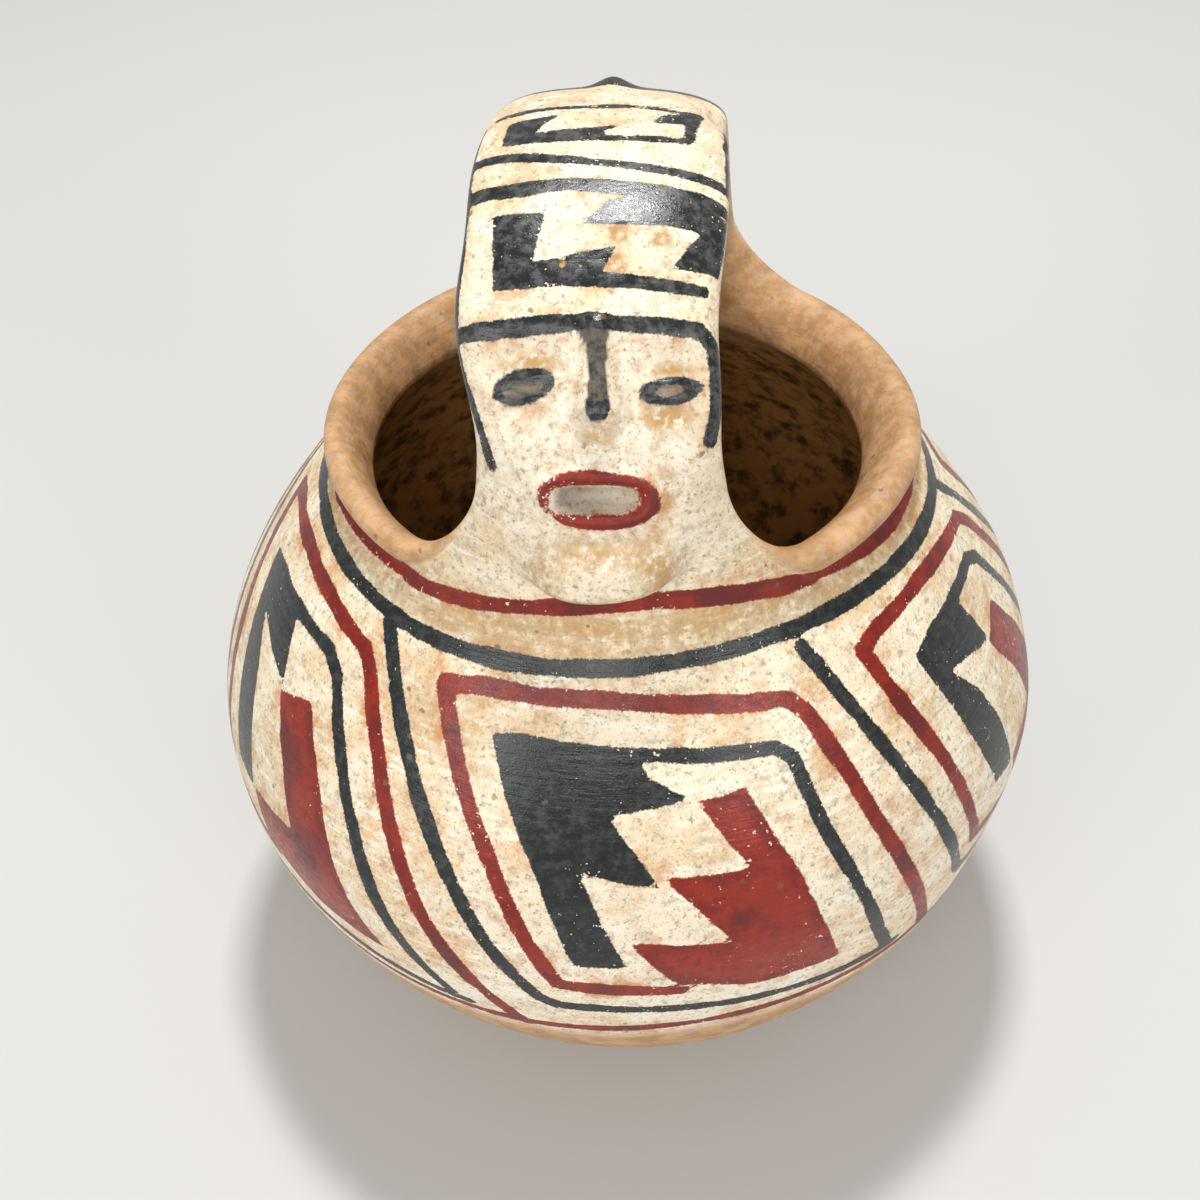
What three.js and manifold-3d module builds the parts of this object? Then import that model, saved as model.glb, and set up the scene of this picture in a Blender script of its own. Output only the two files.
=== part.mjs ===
// A round bowl of fired clay with a broad strap handle arched over its mouth, from the front lip to the back.
// The handle is modelled as a head: chin, mouth, nose and eyes in front, and a low knot behind the crown.
// Millimetres, +Z up. The origin is the middle of the flat underside, and the front face looks along -Y.
import * as THREE from "three";
import { mergeVertices } from "three/addons/utils/BufferGeometryUtils.js";
import Module from "manifold-3d";

// Bowl: radii from the axis and heights above the table.
const BASE_RADIUS = 27;
const BELLY_RADIUS = 82.5;
const BELLY_Z = 70;
const BELLY_FULLNESS = 1.8; // exponent of the curve from the base to the belly, 2 would be an ellipse
const WALL = 6;
const FLOOR = 8;
const NECK = new THREE.Vector2(53, 125.5); // groove under the lip
const LIP_EDGE = new THREE.Vector2(55.4, 130.3);
const LIP_TOP = new THREE.Vector2(52.3, 133.2);
const THROAT = new THREE.Vector2(46, 124); // narrowest point of the inside
const SHOULDER_RISE = 20; // length of the upright start of the shoulder curve
const SHOULDER_LEAN = new THREE.Vector2(9, -9.5); // from the neck back along the shoulder
// Pairs of radius and height towards which the lip's profile bends, from the neck over the lip to the inside.
const UNDER_LIP = [[51.7, 127], [54.6, 128]];
const ROUND_OF_LIP = [[55.9, 132], [54.2, 133.6]];
const INSIDE_OF_LIP = [[49.8, 132.6], [46.4, 127.5]];
const UNDER_THROAT = [[45.8, 122.8], [47.4, 122.7]];
const TURNS = 48; // sides of the revolved bowl

// Handle: an arch in the plane of Y and Z, measured at the middle of its thickness.
const SPRING_Z = 130.7; // height at which the half ellipse of the arch starts
const HALF_SPAN = 50.6;
const ARCH_RISE = 53.3;
const ARCH_LEAN = -2.3; // the top of the arch stands this far to one side
const STRAP_HALF_WIDTH = 20;
const STRAP_HALF_THICKNESS = 6;
const STRAP_SQUARENESS = 2.5; // exponent of the section, 2 would be an ellipse
const FOOT_DEPTH = 9.5; // how far each end runs down inside the wall
const FOOT_SPREAD = 0.038; // outward curve of that end, which follows the wall
const FOOT_HALF_THICKNESS = 2.2;
const FLARE = 7; // extra half width where the strap meets the lip
const FLARE_HEIGHT = 5;
const HUG_HEIGHT = 26; // height over which the strap stops following the round of the lip
const STRAP_SIDES = 36;

// Face and knot: places along the strap in millimetres from the front foot, with ALONG of them to a radian.
const ALONG = 60;
const CHIN = 10;
const MOUTH = 22.5;
const NOSE_TIP = 35.5;
const EYES = 39.5;
const BROW = 50;
const KNOT = 117;
const NOSE_HEIGHT = 3.4;
const NOSE_FALL = 0.6; // share of that height lost on the way up to the brow
const NOSE_BLUNT = 0.12; // share of the nose's length over which its two ends round off
const NOSE_HALF_WIDTH = 3;
const CHIN_HEIGHT = 4.2;
const CHIN_HALF_WIDTH = 11;
const CHIN_HALF_HEIGHT = 5.5;
const LIPS_HALF_WIDTH = 10;
const LIPS_HALF_HEIGHT = 5.6;
const LIPS_HEIGHT = 0.9;
const MOUTH_SHARE = 0.68; // part of the lips' width that the open mouth takes
const MOUTH_SLOPE = 0.2; // share of the lips' width over which the mouth sinks
const MOUTH_DEPTH = 2;
const EYE_SPACING = 11.5; // from the middle of the nose
const EYE_HALF_WIDTH = 6;
const EYE_HALF_HEIGHT = 3.6;
const EYE_HEIGHT = 0.9;
const BROW_HEIGHT = 0.7;
const BROW_HALF_HEIGHT = 3;
const KNOT_HEIGHT = 2.4;
const KNOT_HALF_WIDTH = 6;
const KNOT_HALF_LENGTH = 6;

const wasm = await Module();
wasm.setup();

// The solid inside a closed surface.
function solidOf(geometry) {
  geometry.deleteAttribute("normal");
  geometry.deleteAttribute("uv");
  const merged = mergeVertices(geometry, 1e-3);
  const corners = merged.index.array;
  const kept = [];
  for (let i = 0; i < corners.length; i += 3) {
    const [a, b, c] = corners.slice(i, i + 3);
    if (a !== b && b !== c && c !== a) kept.push(a, b, c);
  }
  const vertProperties = merged.attributes.position.array;
  return new wasm.Manifold(new wasm.Mesh({ numProp: 3, vertProperties, triVerts: new Uint32Array(kept) }));
}

// The surface of a solid.
function surfaceOf(solid) {
  const mesh = solid.getMesh();
  const geometry = new THREE.BufferGeometry();
  geometry.setAttribute("position", new THREE.BufferAttribute(mesh.vertProperties, 3));
  geometry.setIndex(new THREE.BufferAttribute(mesh.triVerts, 1));
  geometry.computeVertexNormals();
  return geometry;
}

// A quarter of a superellipse from the edge of a flat bottom out and up to the belly.
function lowerBody(baseRadius, bellyRadius, bottomZ, steps) {
  const points = [];
  for (let i = 0; i <= steps; i++) {
    const turn = (i / steps) * (Math.PI / 2);
    const out = Math.sin(turn) ** (2 / BELLY_FULLNESS);
    const down = Math.cos(turn) ** (2 / BELLY_FULLNESS);
    points.push(
      new THREE.Vector2(
        baseRadius + (bellyRadius - baseRadius) * out,
        BELLY_Z - (BELLY_Z - bottomZ) * down,
      ),
    );
  }
  return points;
}

// The shoulder from the belly in to the neck, moved inwards by a wall thickness.
function shoulder(wall, steps) {
  const curve = new THREE.CubicBezierCurve(
    new THREE.Vector2(BELLY_RADIUS, BELLY_Z),
    new THREE.Vector2(BELLY_RADIUS, BELLY_Z + SHOULDER_RISE),
    NECK.clone().add(SHOULDER_LEAN),
    NECK,
  );
  const points = [];
  for (let i = 0; i <= steps; i++) {
    const along = curve.getTangent(i / steps);
    const outward = new THREE.Vector2(along.y, -along.x);
    points.push(curve.getPoint(i / steps).addScaledVector(outward, -wall));
  }
  return points;
}

// A curve between two points of the profile that bends towards two others.
function bend(start, towards, end, steps) {
  const [first, second] = towards.map((pair) => new THREE.Vector2(...pair));
  return new THREE.CubicBezierCurve(start, first, second, end).getPoints(steps);
}

// The bowl is its wall's outline, up the outside, over the lip and down the inside, turned about the axis.
function bowl() {
  const insideShoulder = shoulder(WALL, 5).reverse();
  const outline = [
    new THREE.Vector2(0, 0),
    ...lowerBody(BASE_RADIUS, BELLY_RADIUS, 0, 8),
    ...shoulder(0, 8).slice(1),
    ...bend(NECK, UNDER_LIP, LIP_EDGE, 3).slice(1),
    ...bend(LIP_EDGE, ROUND_OF_LIP, LIP_TOP, 3).slice(1),
    ...bend(LIP_TOP, INSIDE_OF_LIP, THROAT, 3).slice(1),
    ...bend(THROAT, UNDER_THROAT, insideShoulder[0], 2).slice(1),
    ...insideShoulder.slice(1),
    ...lowerBody(BASE_RADIUS - WALL / 2, BELLY_RADIUS - WALL, FLOOR, 5).reverse().slice(1),
    new THREE.Vector2(0, FLOOR),
  ];
  return new THREE.LatheGeometry(outline, TURNS, Math.PI / TURNS).rotateX(Math.PI / 2);
}

// How far the modelling stands out of the strap, at a place across it and a distance along it.
function relief(across, along) {
  const { smoothstep, clamp } = THREE.MathUtils;
  const noseRun = (along - NOSE_TIP) / (BROW - NOSE_TIP);
  const noseTip = smoothstep(noseRun, -NOSE_BLUNT, NOSE_BLUNT);
  const noseRoot = 1 - smoothstep(noseRun, 1 - NOSE_BLUNT, 1 + NOSE_BLUNT);
  const noseSlope = 1 - NOSE_FALL * clamp(noseRun, 0, 1);
  const nose = noseTip * noseRoot * noseSlope * Math.exp(-((across / NOSE_HALF_WIDTH) ** 2));
  const brow = Math.exp(-(((along - BROW) / BROW_HALF_HEIGHT) ** 2));
  const eye = Math.hypot((Math.abs(across) - EYE_SPACING) / EYE_HALF_WIDTH, (along - EYES) / EYE_HALF_HEIGHT);
  const lips = Math.hypot(across / LIPS_HALF_WIDTH, (along - MOUTH) / LIPS_HALF_HEIGHT);
  const lipRing = 1 - smoothstep(lips, 1 - MOUTH_SLOPE, 1);
  const openMouth = 1 - smoothstep(lips, MOUTH_SHARE - MOUTH_SLOPE, MOUTH_SHARE);
  const chin = Math.hypot(across / CHIN_HALF_WIDTH, (along - CHIN) / CHIN_HALF_HEIGHT);
  const knot = Math.hypot(across / KNOT_HALF_WIDTH, (along - KNOT) / KNOT_HALF_LENGTH);
  return (
    NOSE_HEIGHT * nose +
    BROW_HEIGHT * brow +
    EYE_HEIGHT * Math.max(0, 1 - eye * eye) +
    LIPS_HEIGHT * lipRing -
    (MOUTH_DEPTH + LIPS_HEIGHT) * openMouth +
    CHIN_HEIGHT * Math.sqrt(Math.max(0, 1 - chin * chin)) +
    KNOT_HEIGHT * Math.max(0, 1 - knot)
  );
}

// Middle of the strap and its outward direction in the plane of Y and Z, at a distance from the front foot.
function archAt(along) {
  const end = Math.PI * ALONG;
  const side = along < end / 2 ? -1 : 1;
  const depth = Math.max(0, -along, along - end);
  if (depth > 0) {
    const slope = 2 * FOOT_SPREAD * depth;
    const middle = new THREE.Vector2(side * (HALF_SPAN + FOOT_SPREAD * depth * depth), SPRING_Z - depth);
    return { middle, outward: new THREE.Vector2(side, slope).normalize(), depth, turn: 0 };
  }
  const turn = along / ALONG;
  const middle = new THREE.Vector2(-HALF_SPAN * Math.cos(turn), SPRING_Z + ARCH_RISE * Math.sin(turn));
  const outward = new THREE.Vector2(-ARCH_RISE * Math.cos(turn), HALF_SPAN * Math.sin(turn)).normalize();
  return { middle, outward, depth, turn };
}

// Evenly spaced points of the strap's section, with its half width and half thickness as one unit each.
function strapSection() {
  const round = [];
  for (let i = 0; i <= 360; i++) {
    const turn = THREE.MathUtils.degToRad(i);
    const power = 2 / STRAP_SQUARENESS;
    const across = Math.sign(Math.cos(turn)) * Math.abs(Math.cos(turn)) ** power;
    const out = Math.sign(Math.sin(turn)) * Math.abs(Math.sin(turn)) ** power;
    round.push(new THREE.Vector2(across * STRAP_HALF_WIDTH, out * STRAP_HALF_THICKNESS));
  }
  const spaced = new THREE.Path(round).getSpacedPoints(STRAP_SIDES).slice(0, STRAP_SIDES);
  return spaced.map((p) => new THREE.Vector2(p.x / STRAP_HALF_WIDTH, p.y / STRAP_HALF_THICKNESS));
}

// Distances along the strap at which it has a section, closer together on the face.
function strapStations() {
  const end = Math.PI * ALONG;
  const runs = [
    [-FOOT_DEPTH, 0, 3],
    [0, BROW + BROW_HALF_HEIGHT, 25],
    [BROW + BROW_HALF_HEIGHT, KNOT - KNOT_HALF_LENGTH, 10],
    [KNOT - KNOT_HALF_LENGTH, KNOT + KNOT_HALF_LENGTH, 4],
    [KNOT + KNOT_HALF_LENGTH, end, 11],
    [end, end + FOOT_DEPTH, 3],
  ];
  const stations = [-FOOT_DEPTH];
  for (const [from, to, steps] of runs) {
    for (let i = 1; i <= steps; i++) stations.push(from + ((to - from) * i) / steps);
  }
  return stations;
}

// One section of the strap in space: it widens and follows the round of the lip near its feet.
function strapRing(along, section) {
  const { middle, outward, depth, turn } = archAt(along);
  const rise = Math.max(0, middle.y - LIP_TOP.y);
  const halfWidth = STRAP_HALF_WIDTH + FLARE * Math.exp(-rise / FLARE_HEIGHT);
  const sunk = depth / FOOT_DEPTH;
  const halfThickness = THREE.MathUtils.lerp(STRAP_HALF_THICKNESS, FOOT_HALF_THICKNESS, sunk);
  const hug = Math.exp(-((rise / HUG_HEIGHT) ** 2));
  return section.map((p) => {
    const across = p.x * halfWidth;
    const sag = hug * (HALF_SPAN - Math.sqrt(HALF_SPAN ** 2 - across ** 2));
    const out = p.y * halfThickness + relief(across, along) * Math.max(0, p.y);
    return new THREE.Vector3(
      ARCH_LEAN * Math.sin(turn) + across,
      middle.x + outward.x * out - Math.sign(middle.x) * sag,
      middle.y + outward.y * out,
    );
  });
}

// The strap is its sections joined ring to ring, with a closed end inside the wall at each foot.
function handle() {
  const section = strapSection();
  const rings = strapStations().map((along) => strapRing(along, section));
  const positions = rings.flat();
  const corners = [];
  for (let row = 0; row + 1 < rings.length; row++) {
    for (let i = 0; i < STRAP_SIDES; i++) {
      const a = row * STRAP_SIDES + i;
      const b = row * STRAP_SIDES + ((i + 1) % STRAP_SIDES);
      corners.push(a, a + STRAP_SIDES, b, b, a + STRAP_SIDES, b + STRAP_SIDES);
    }
  }
  // Each end is closed by a strip between the outer and the inner side of its section.
  const last = (rings.length - 1) * STRAP_SIDES;
  for (let i = 0; i < STRAP_SIDES / 2; i++) {
    const [a, b] = [i, i + 1];
    const [c, d] = [(STRAP_SIDES - i) % STRAP_SIDES, STRAP_SIDES - i - 1];
    corners.push(a, b, c, b, d, c);
    corners.push(last + a, last + c, last + b, last + b, last + c, last + d);
  }
  const geometry = new THREE.BufferGeometry().setFromPoints(positions);
  geometry.setIndex(corners);
  return geometry;
}

const bowlSolid = solidOf(bowl());
const handleSolid = solidOf(handle());
const clay = new THREE.MeshStandardMaterial({ color: 0xdcc3a0, roughness: 0.55, metalness: 0 });
const vessel = new THREE.Mesh(surfaceOf(bowlSolid.add(handleSolid)), clay);
vessel.name = "effigy_bowl";

const part = new THREE.Group();
part.add(vessel);

export default part;
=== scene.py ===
import math
import bpy
import numpy as np
from mathutils import Matrix, Vector


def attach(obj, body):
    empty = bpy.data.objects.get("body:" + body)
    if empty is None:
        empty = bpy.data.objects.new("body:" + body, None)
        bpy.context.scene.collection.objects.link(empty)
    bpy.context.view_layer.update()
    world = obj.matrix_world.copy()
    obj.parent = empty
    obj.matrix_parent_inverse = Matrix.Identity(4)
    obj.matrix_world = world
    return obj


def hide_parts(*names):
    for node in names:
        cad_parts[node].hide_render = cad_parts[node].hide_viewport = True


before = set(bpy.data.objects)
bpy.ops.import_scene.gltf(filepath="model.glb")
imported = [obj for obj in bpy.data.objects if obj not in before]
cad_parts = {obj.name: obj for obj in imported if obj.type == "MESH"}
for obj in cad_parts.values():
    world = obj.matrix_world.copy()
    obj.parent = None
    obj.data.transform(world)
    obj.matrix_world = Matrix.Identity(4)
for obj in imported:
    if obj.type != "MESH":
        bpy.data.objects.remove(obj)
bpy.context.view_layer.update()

# The bowl
# A round jar of low-fired clay, coiled and scraped by hand, then slipped cream outside and burnished.
# A strap of the same clay, pressed on wet, arches over the mouth, and its front is modelled as a face.
# Black and red clay paints carry the stepped frets, and the bare clay inside is browned by use.
# Further in from the lip it is darkened more by painted shade.

# Sizes of the bowl, in millimetres, the same as the solid model's
MM = 0.001
BASE_RADIUS = 27.0
BELLY_RADIUS = 82.5
BELLY_Z = 70.0
BELLY_FULLNESS = 1.8
WALL = 6.0
BOWL_FLOOR = 8.0
FLOOR_SET_IN = 3.0
NECK = (53.0, 125.5)
LIP_EDGE = (55.4, 130.3)
LIP_TOP = (52.3, 133.2)
THROAT = (46.0, 124.0)
SHOULDER_RISE = 20.0
SHOULDER_LEAN = (9.0, -9.5)
SHOULDER_STEPS = 160
UNDER_LIP = ((51.7, 127.0), (54.6, 128.0))
ROUND_OF_LIP = ((55.9, 132.0), (54.2, 133.6))
INSIDE_OF_LIP = ((49.8, 132.6), (46.4, 127.5))
UNDER_THROAT = ((45.8, 122.8), (47.4, 122.7))


def cubic(start, pull_a, pull_b, end, steps=60):
    """Points on a cubic curve: the ends and pulls weighted by the four terms of ((1 - t) + t) cubed."""
    t = np.linspace(0.0, 1.0, steps)[:, None]
    left = 1.0 - t
    first = left ** 3 * np.array(start) + 3 * left ** 2 * t * np.array(pull_a)
    return first + 3 * left * t ** 2 * np.array(pull_b) + t ** 3 * np.array(end)


def round_below(foot_radius, belly_radius, foot_z, steps=240):
    """Squared quarter circle: radius = foot + span * sin^(2/n), height = belly - drop * cos^(2/n)."""
    turn = np.linspace(0.0, math.pi / 2, steps)
    power = 2.0 / BELLY_FULLNESS
    radius = foot_radius + (belly_radius - foot_radius) * np.sin(turn) ** power
    height = BELLY_Z - (BELLY_Z - foot_z) * np.cos(turn).clip(0.0, 1.0) ** power
    return np.column_stack([radius, height])


def set_in(line, depth):
    """The line moved to its left by depth, along its own normal."""
    along = np.gradient(line, axis=0)
    along /= np.linalg.norm(along, axis=1)[:, None]
    return line + depth * np.column_stack([-along[:, 1], along[:, 0]])


def bowl_profile():
    """Radius and height along the whole wall: from under the base, over the lip, to the floor's middle."""
    lower = round_below(BASE_RADIUS, BELLY_RADIUS, 0.0)
    belly = (BELLY_RADIUS, BELLY_Z)
    shoulder_pull = (NECK[0] + SHOULDER_LEAN[0], NECK[1] + SHOULDER_LEAN[1])
    shoulder = cubic(belly, (BELLY_RADIUS, BELLY_Z + SHOULDER_RISE), shoulder_pull, NECK, SHOULDER_STEPS)
    inner_shoulder = set_in(shoulder, WALL)[::-1]
    inner_lower = round_below(BASE_RADIUS - FLOOR_SET_IN, BELLY_RADIUS - WALL, BOWL_FLOOR)[::-1]
    stretches = [
        np.array([(0.0, 0.0)]),
        lower,
        shoulder[1:],
        cubic(NECK, *UNDER_LIP, LIP_EDGE)[1:],
        cubic(LIP_EDGE, *ROUND_OF_LIP, LIP_TOP)[1:],
        cubic(LIP_TOP, *INSIDE_OF_LIP, THROAT)[1:],
        cubic(THROAT, *UNDER_THROAT, inner_shoulder[0])[1:],
        inner_shoulder[1:],
        inner_lower[1:],
        np.array([(0.0, BOWL_FLOOR)]),
    ]
    return np.vstack(stretches)


profile = bowl_profile()
profile_run = np.append(0.0, np.cumsum(np.linalg.norm(np.diff(profile, axis=0), axis=1))) - BASE_RADIUS


def run_at(point):
    """Distance along the wall, from the base's edge, of the profile point nearest to a radius and height."""
    return profile_run[np.argmin(np.linalg.norm(profile - np.array(point), axis=1))]


# Rows up the wall and columns round it; the strap's two feet replace a patch of the lip front and back
COLUMNS = 360
FOOT_COLUMNS = 42
FOOT_BELOW_NECK = 4.0
PAINT_FROM = 68.0
UNDERSIDE_STEP = 5.4
LOW_WALL_STEP = 2.6
PAINTED_STEP = 1.2
LIP_STEP = 1.0
INSIDE_STEP = 6.0
FOOT_RUN_OUTSIDE = run_at(NECK) - FOOT_BELOW_NECK
FOOT_RUN_INSIDE = run_at(THROAT)
LIP_TOP_RUN = run_at(LIP_TOP)
LIP_EDGE_RUN = run_at(LIP_EDGE)
LAST_RUN = profile_run[-1]


def rows_between(start, end, step):
    """Evenly spaced stations from start up to, and without, end."""
    count = max(1, int(round((end - start) / step)))
    return np.linspace(start, end, count, endpoint=False)


row_run = np.concatenate([
    rows_between(-BASE_RADIUS, 0.0, UNDERSIDE_STEP),
    rows_between(0.0, PAINT_FROM, LOW_WALL_STEP),
    rows_between(PAINT_FROM, FOOT_RUN_OUTSIDE, PAINTED_STEP),
    rows_between(FOOT_RUN_OUTSIDE, FOOT_RUN_INSIDE, LIP_STEP),
    rows_between(FOOT_RUN_INSIDE, LAST_RUN, INSIDE_STEP),
    [LAST_RUN],
])
ROWS = len(row_run)
FOOT_ROW_OUTSIDE = int(np.argmin(np.abs(row_run - FOOT_RUN_OUTSIDE)))
FOOT_ROW_INSIDE = int(np.argmin(np.abs(row_run - FOOT_RUN_INSIDE)))
FOOT_ROWS = FOOT_ROW_INSIDE - FOOT_ROW_OUTSIDE
row_radius = np.interp(row_run, profile_run, profile[:, 0])
row_height = np.interp(row_run, profile_run, profile[:, 1])
column_turn = np.arange(COLUMNS) * 2 * math.pi / COLUMNS

# The hand-made unevenness of the wall, of the lip's height and of the throat's middle
# A wave is its share, its count round the bowl, its twist up the wall and its start
WALL_SWING = 0.5
WALL_WAVES = ((1.0, 2, 0.035, 0.0), (0.7, 3, -0.05, 1.3), (0.5, 7, 0.11, 0.4))
WALL_SWING_RUN = 100.0
WALL_SWING_REACH = 42.0
LIP_SWING = 0.45
LIP_WAVES = ((1.0, 2, 0.0, 0.8), (0.6, 5, 0.0, 2.0))
LIP_SWING_REACH = 16.0
THROAT_ASIDE = 1.2
THROAT_ASIDE_REACH = 11.0


def swell(along, middle, reach):
    """1 at the middle, falling away as e to the minus of the squared distance over the reach."""
    return np.exp(-((along - middle) / reach) ** 2)


def waved(turn, run, waves):
    """Sum of sines: each wave's share times the sine of count * turn + twist * run + start."""
    return sum(share * np.sin(count * turn + twist * run + start) for share, count, twist, start in waves)


def bowl_points():
    """Each profile row turned round the axis, front first, with slow waves in radius and in lip height."""
    turn = column_turn[None, :]
    run = row_run[:, None]
    wall_swing = WALL_SWING * swell(run, WALL_SWING_RUN, WALL_SWING_REACH) * waved(turn, run, WALL_WAVES)
    lip_swing = LIP_SWING * swell(run, LIP_TOP_RUN, LIP_SWING_REACH) * waved(turn, run, LIP_WAVES)
    radius = row_radius[:, None] + wall_swing
    height = row_height[:, None] + lip_swing
    aside = THROAT_ASIDE * swell(run, FOOT_RUN_INSIDE, THROAT_ASIDE_REACH)
    return np.stack([radius * np.sin(turn) - aside, -radius * np.cos(turn), height], axis=2)


bowl = bowl_points()

# Sizes of the strap: an arch over the mouth, its section a squared oval
SPRING_Z = 130.7
HALF_SPAN = 50.6
ARCH_RISE = 53.3
ARCH_LEAN = -2.3
STRAP_HALF_WIDTH = 20.0
STRAP_HALF_THICKNESS = 6.0
STRAP_SQUARENESS = 2.5
SECTION_CORNER = math.radians(28.0)
SECTION_SIDE_STEPS = 200
ALONG = 60.0
ARCH_END = ALONG * math.pi
FRONT_JOIN = 20.0
BACK_JOIN = ARCH_END - FRONT_JOIN
JOIN_ROWS = 26
FLARE = 3.0
FLARE_HEIGHT = 9.0
HUG_HEIGHT = 26.0
CROWN_MIDDLE = 82.0
CROWN_REACH = 20.0
CROWN_WIDER = 1.1
CROWN_ASIDE = 0.4
HUG_RADIUS = 52.3
TEMPLES = 52.0
TEMPLES_REACH = 14.0
TEMPLES_WIDER = 0.6
TEMPLES_ASIDE = 1.7
JAW = 29.0
JAW_REACH = 9.0
JAW_NARROWER = 0.8
FACE_END = 72.0
FACE_STEP = 0.85
CROWN_END = 126.0
CROWN_STEP = 1.3
BACK_STEP = 2.2


def even_points(line, count):
    """count points at even distances along a line, its last point left out."""
    length = np.append(0.0, np.cumsum(np.linalg.norm(np.diff(line, axis=0), axis=1)))
    wanted = np.linspace(0.0, length[-1], count, endpoint=False)
    return np.column_stack([np.interp(wanted, length, line[:, 0]), np.interp(wanted, length, line[:, 1])])


def strap_section():
    """Squared oval: across = cos^(2/n), out = sin^(2/n); outer face, right edge, inner face, left edge."""
    corners = [math.pi - SECTION_CORNER, SECTION_CORNER, -SECTION_CORNER, SECTION_CORNER - math.pi,
               -SECTION_CORNER - math.pi]
    counts = [2 * FOOT_COLUMNS, FOOT_ROWS, 2 * FOOT_COLUMNS, FOOT_ROWS]
    sides = []
    for first, last, count in zip(corners[:-1], corners[1:], counts):
        angle = np.linspace(first, last, SECTION_SIDE_STEPS)
        power = 2.0 / STRAP_SQUARENESS
        across = np.sign(np.cos(angle)) * np.abs(np.cos(angle)) ** power
        out = np.sign(np.sin(angle)) * np.abs(np.sin(angle)) ** power
        line = np.column_stack([across * STRAP_HALF_WIDTH, out * STRAP_HALF_THICKNESS])
        sides.append(even_points(line, count))
    return np.vstack(sides)


section = strap_section()
SECTION_POINTS = len(section)
section_across = section[:, 0]
section_out = section[:, 1]
section_step = np.linalg.norm(np.diff(section, axis=0), axis=1)
section_girth = np.append(0.0, np.cumsum(section_step))
section_girth = section_girth - section_girth[FOOT_COLUMNS]
girth_whole = section_girth[-1] - section_girth[0] + section_step[-1]
section_girth = np.where(section_girth > girth_whole / 2, section_girth - girth_whole, section_girth)


def strap_points(along):
    """The section carried along the arch, square to it, its faces hollowed near the rim to follow it."""
    turn = (along / ALONG)[:, None]
    centre_y = -HALF_SPAN * np.cos(turn)
    centre_z = SPRING_Z + ARCH_RISE * np.sin(turn)
    slope = np.hypot(ARCH_RISE * np.cos(turn), HALF_SPAN * np.sin(turn))
    normal_y = -ARCH_RISE * np.cos(turn) / slope
    normal_z = HALF_SPAN * np.sin(turn) / slope
    rise = np.maximum(centre_z - LIP_TOP[1], 0.0)
    widening = 1.0 + FLARE / STRAP_HALF_WIDTH * np.exp(-rise / FLARE_HEIGHT)
    crown = swell(along[:, None], CROWN_MIDDLE, CROWN_REACH)
    temples = swell(along[:, None], TEMPLES, TEMPLES_REACH)
    jaw = swell(along[:, None], JAW, JAW_REACH)
    wider = CROWN_WIDER * crown + TEMPLES_WIDER * temples - JAW_NARROWER * jaw
    across = section_across[None, :] * (widening + wider / STRAP_HALF_WIDTH)
    hug = swell(rise, 0.0, HUG_HEIGHT)
    sag = hug * (HUG_RADIUS - np.sqrt(HUG_RADIUS ** 2 - across ** 2))
    x = ARCH_LEAN * np.sin(turn) - CROWN_ASIDE * crown - TEMPLES_ASIDE * temples + across
    y = centre_y + normal_y * section_out[None, :] - np.sign(centre_y) * sag
    z = centre_z + normal_z * section_out[None, :]
    return np.stack([x, y, z], axis=2)


def foot_loop(middle, sense):
    """Rows and columns of the patch's rim, in the section's own order; sense is 1 in front, -1 behind."""
    swing = np.arange(-FOOT_COLUMNS, FOOT_COLUMNS)
    down = np.arange(FOOT_ROWS)
    rows = np.concatenate([
        np.full(2 * FOOT_COLUMNS, FOOT_ROW_OUTSIDE),
        FOOT_ROW_OUTSIDE + down,
        np.full(2 * FOOT_COLUMNS, FOOT_ROW_INSIDE),
        FOOT_ROW_INSIDE - down,
    ])
    columns = np.concatenate([
        swing,
        np.full(FOOT_ROWS, FOOT_COLUMNS),
        -swing,
        np.full(FOOT_ROWS, -FOOT_COLUMNS),
    ])
    return rows, (middle + sense * columns) % COLUMNS


# How strongly the feet are drawn along the bowl and along the arch: outer face, edges, inner face
RIM_PULLS = (13.0, 27.0, 14.0)
ARCH_PULLS = (18.0, 24.0, 20.0)
PULL_EVEN = 8


def evened(values):
    """Running mean round the section, over PULL_EVEN points each way."""
    total = sum(np.roll(values, shift, axis=0) for shift in range(-PULL_EVEN, PULL_EVEN + 1))
    return total / (2 * PULL_EVEN + 1)


def round_section(outside, side, inside):
    """One value for each point of the section: its faces' and edges' own, evened out round it."""
    values = np.concatenate([np.full(2 * FOOT_COLUMNS, outside), np.full(FOOT_ROWS, side),
                             np.full(2 * FOOT_COLUMNS, inside), np.full(FOOT_ROWS, side)])
    return evened(values[:, None])


def foot_pull(rows, columns, sense):
    """Direction at each rim point into the patch along the bowl's surface, evened out round the rim."""
    up = bowl[rows, columns] - bowl[rows - 1, columns]
    down = bowl[rows, columns] - bowl[rows + 1, columns]
    left = bowl[rows, (columns - sense) % COLUMNS] - bowl[rows, columns]
    right = bowl[rows, (columns + sense) % COLUMNS] - bowl[rows, columns]
    place = np.arange(SECTION_POINTS)[:, None]
    face = 2 * FOOT_COLUMNS
    pull = np.where(place < face, up, left)
    pull = np.where(place >= face + FOOT_ROWS, down, pull)
    pull = np.where(place >= 2 * face + FOOT_ROWS, right, pull)
    pull = evened(pull / np.linalg.norm(pull, axis=1)[:, None])
    return pull * round_section(*RIM_PULLS)


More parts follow.
